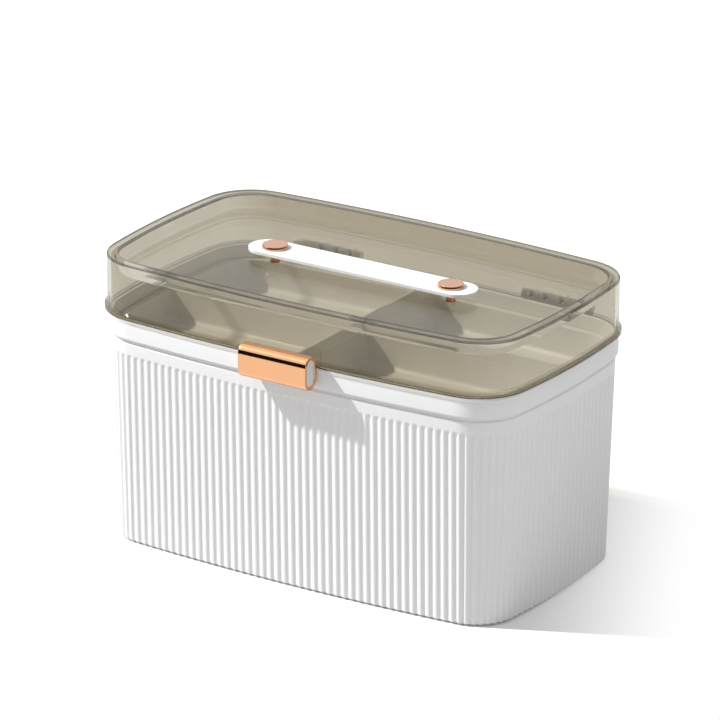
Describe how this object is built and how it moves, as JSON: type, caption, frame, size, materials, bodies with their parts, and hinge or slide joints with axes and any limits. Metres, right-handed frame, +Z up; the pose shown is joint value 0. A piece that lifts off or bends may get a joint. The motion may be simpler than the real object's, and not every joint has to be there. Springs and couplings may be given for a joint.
{
  "type": "storage box with hinged lid and tray",
  "caption": "Tabletop storage box: fluted body, see-through hinged lid with a flat carrying strap and a bar latch, and a lift-out compartment tray.",
  "frame": {"origin": "middle of the flat plinth face that the box stands on", "axes": "+X along the length, to the right as seen from the latch; -Y towards the latch at the front; +Z up"},
  "size_m": [0.273, 0.1783, 0.1659],
  "materials": {
    "white_plastic": "satin white polypropylene",
    "tray_plastic": "satin white polypropylene",
    "smoked_plastic": "polished see-through smoky brown polystyrene",
    "strap_rubber": "smooth soft white strap",
    "rivet_metal": "polished rose gold plating",
    "rose_gold_plastic": "polished rose gold plating on plastic",
    "grey_plastic": "satin pale grey",
    "pin_steel": "plain drawn wire"
  },
  "bodies": {
    "base": {"body": "white_plastic", "hinge_pin_left": "pin_steel", "hinge_pin_right": "pin_steel"},
    "lid": {"lid": "smoked_plastic", "latch_pin": "pin_steel", "handle_strap": "strap_rubber", "rivet_left": "rivet_metal", "rivet_right": "rivet_metal", "rivet_cap_left": "rivet_metal", "rivet_cap_right": "rivet_metal"},
    "latch": {"latch_shell": "rose_gold_plastic", "latch_core": "grey_plastic"},
    "tray": {"tray": "tray_plastic"}
  },
  "joints": [
    {"name": "lid_hinge", "type": "hinge", "parent": "base", "child": "lid", "pos_m": [0, 0.083, 0.1348], "axis": [-1, 0, 0], "range_deg": [0, 105]},
    {"name": "latch_swing", "type": "hinge", "parent": "lid", "child": "latch", "pos_m": [0, -0.0805, 0.139], "axis": [-1, 0, 0], "range_deg": [0, 60]},
    {"name": "tray_lift", "type": "slide", "parent": "base", "child": "tray", "axis": [0, 0, 1], "range_m": [0, 0.018]}
  ]
}
